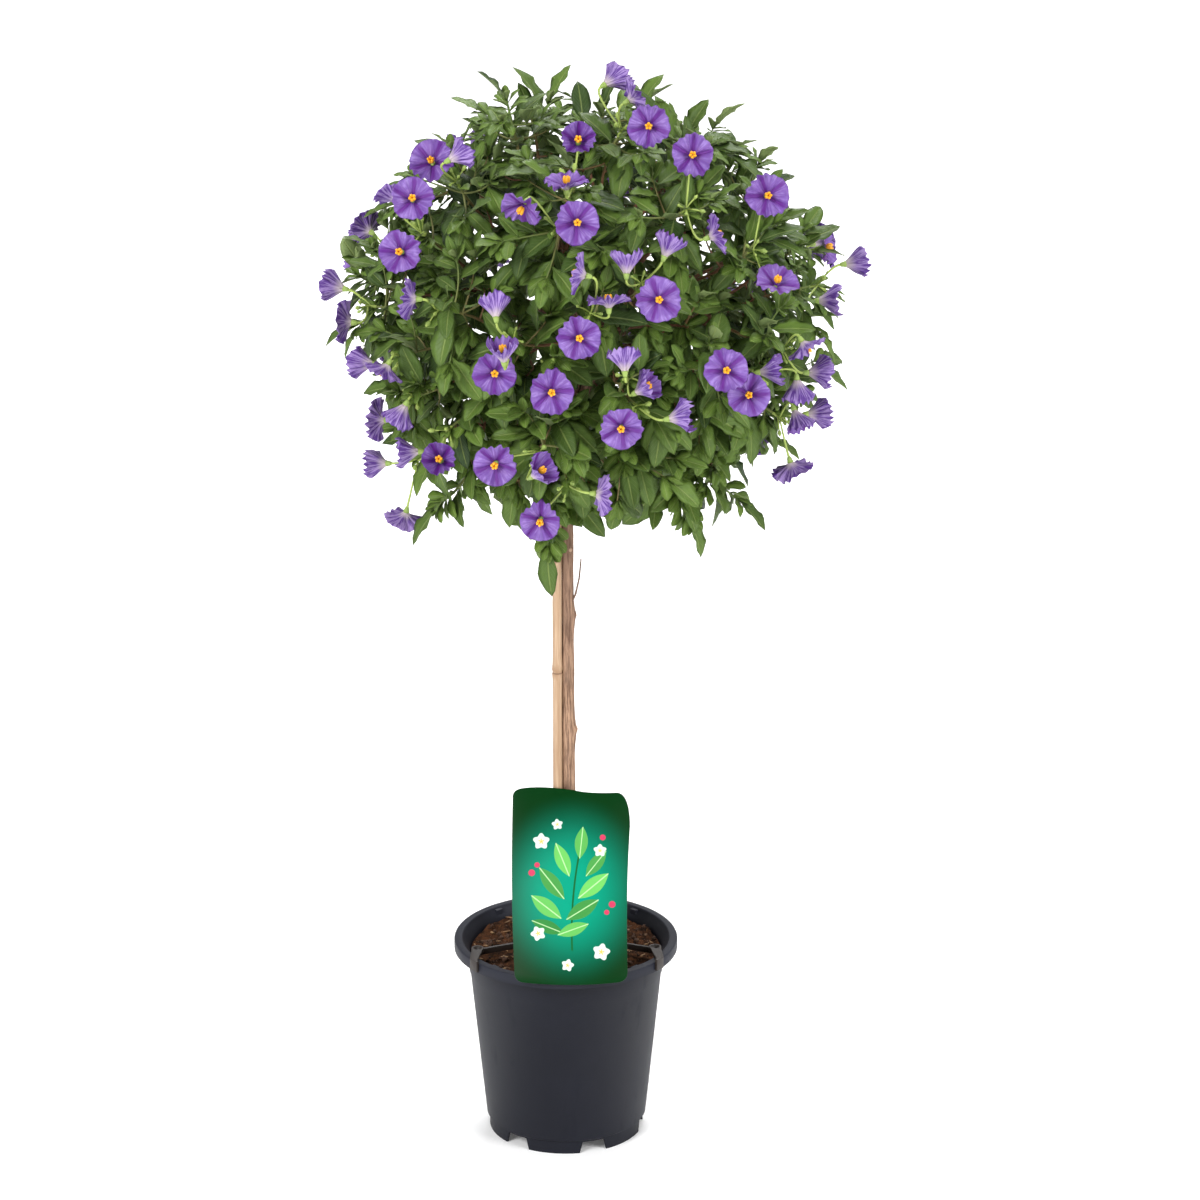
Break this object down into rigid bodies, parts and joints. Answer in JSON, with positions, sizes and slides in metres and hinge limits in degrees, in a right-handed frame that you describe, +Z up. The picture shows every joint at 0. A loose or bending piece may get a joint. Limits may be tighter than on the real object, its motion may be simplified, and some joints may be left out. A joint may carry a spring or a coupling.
{
  "type": "potted blue potato bush",
  "caption": "Flowering shrub grown as a small standard tree: a round leafy crown with lobed violet blooms on a bare trunk beside a cane, in a round nursery pot.",
  "frame": {"origin": "on the ground on the pot's upright axis, at the centre of the pot's underside", "axes": "+Z up along the pot's axis and the trunk; -Y is the front, where the label leans; +X is to the right seen from the front"},
  "size_m": [0.3969, 0.3791, 0.8273],
  "materials": {
    "pot_plastic": "satin dark slate-grey moulded plastic",
    "peat": "coarse dark peat with bark chips",
    "bark": "tan bark with fine upright ridges",
    "bamboo": "pale smooth bamboo",
    "label_card": "thin printed plastic card, green",
    "clip_plastic": "brown-black moulded plastic",
    "leaf_green": "satin green leaves on reddish-brown twigs",
    "bloom_violet": "soft crinkled violet petals"
  },
  "bodies": {
    "root": {"pot": "pot_plastic", "soil": "peat", "trunk": "bark", "cane": "bamboo", "plant_label": "label_card", "pot_clip": "clip_plastic", "leafy_stem_01": "leaf_green", "leafy_stem_02": "leaf_green", "leafy_stem_03": "leaf_green", "leafy_stem_04": "leaf_green", "leafy_stem_05": "leaf_green", "leafy_stem_06": "leaf_green", "leafy_stem_07": "leaf_green", "leafy_stem_08": "leaf_green", "leafy_stem_09": "leaf_green", "leafy_stem_10": "leaf_green", "leafy_stem_11": "leaf_green", "leafy_stem_12": "leaf_green", "leafy_stem_13": "leaf_green", "leafy_stem_14": "leaf_green", "leafy_stem_15": "leaf_green", "leafy_stem_16": "leaf_green", "bloom_spray_01": "bloom_violet", "bloom_spray_02": "bloom_violet", "bloom_spray_03": "bloom_violet", "bloom_spray_04": "bloom_violet", "bloom_spray_05": "bloom_violet", "bloom_spray_06": "bloom_violet", "bloom_spray_07": "bloom_violet", "bloom_spray_08": "bloom_violet", "bloom_spray_09": "bloom_violet", "bloom_spray_10": "bloom_violet", "bloom_spray_11": "bloom_violet", "bloom_spray_12": "bloom_violet", "bloom_spray_13": "bloom_violet", "bloom_spray_14": "bloom_violet", "bloom_spray_15": "bloom_violet", "bloom_spray_16": "bloom_violet", "bloom_spray_17": "bloom_violet", "bloom_spray_18": "bloom_violet", "bloom_spray_19": "bloom_violet", "bloom_spray_20": "bloom_violet", "bloom_spray_21": "bloom_violet", "bloom_spray_22": "bloom_violet", "bloom_spray_23": "bloom_violet", "bloom_spray_24": "bloom_violet", "bloom_spray_25": "bloom_violet", "bloom_spray_26": "bloom_violet", "bloom_spray_27": "bloom_violet", "bloom_spray_28": "bloom_violet", "bloom_spray_29": "bloom_violet", "bloom_spray_30": "bloom_violet", "bloom_spray_31": "bloom_violet", "bloom_spray_32": "bloom_violet", "bloom_spray_33": "bloom_violet", "bloom_spray_34": "bloom_violet", "bloom_spray_35": "bloom_violet", "bloom_spray_36": "bloom_violet"}
  },
  "joints": []
}
